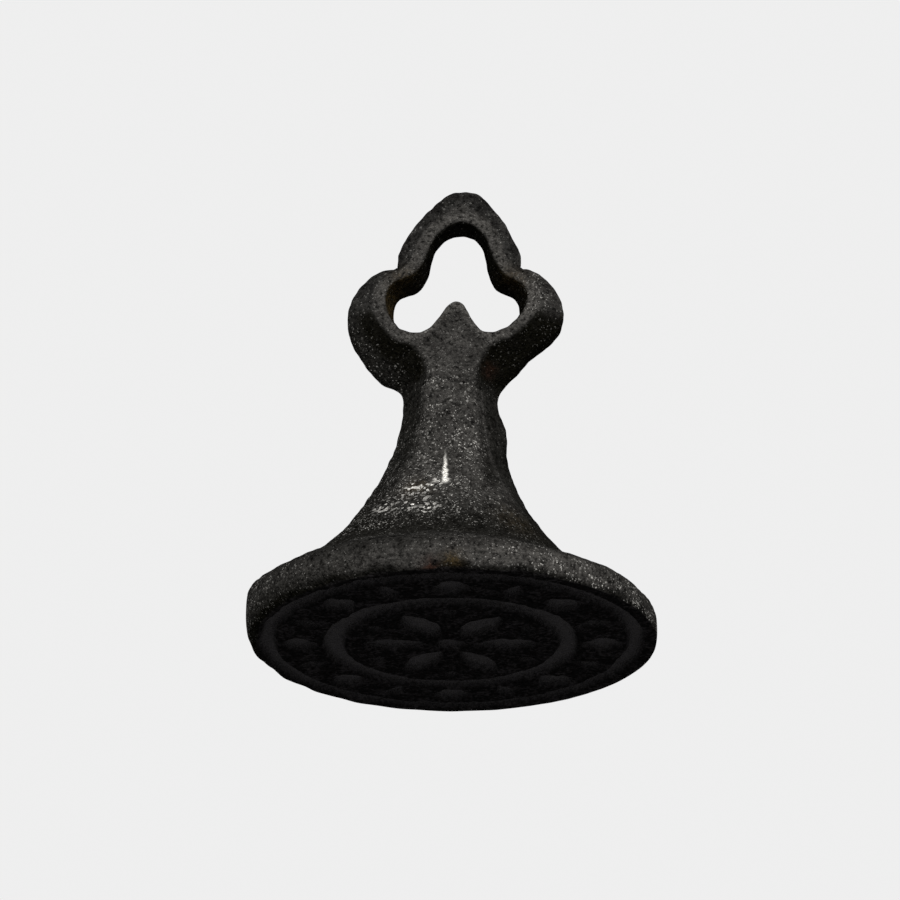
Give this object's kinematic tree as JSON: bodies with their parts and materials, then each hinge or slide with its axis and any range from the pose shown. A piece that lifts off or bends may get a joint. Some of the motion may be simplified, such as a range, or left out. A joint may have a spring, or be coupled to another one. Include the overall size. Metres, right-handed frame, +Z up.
{
  "type": "wax seal stamp",
  "caption": "Hand-held bronze seal with a round engraved die, a flared hexagonal stem and a pierced trefoil loop, pressed into soft wax to leave a raised impression.",
  "frame": {"origin": "middle of the flat engraved face, on which the seal stands", "axes": "+Z up from the die towards the loop, +X to the right seen from the loop's front, front faces -Y"},
  "size_m": [0.022, 0.022, 0.0279],
  "materials": {
    "bronze": "cast, with a dark grey granular patina",
    "filler": "brazing filler, patinated like the castings"
  },
  "bodies": {
    "root": {"die_plate": "bronze", "stem": "bronze", "trefoil_loop": "bronze", "foot_braze": "filler", "loop_braze": "filler"}
  },
  "joints": []
}
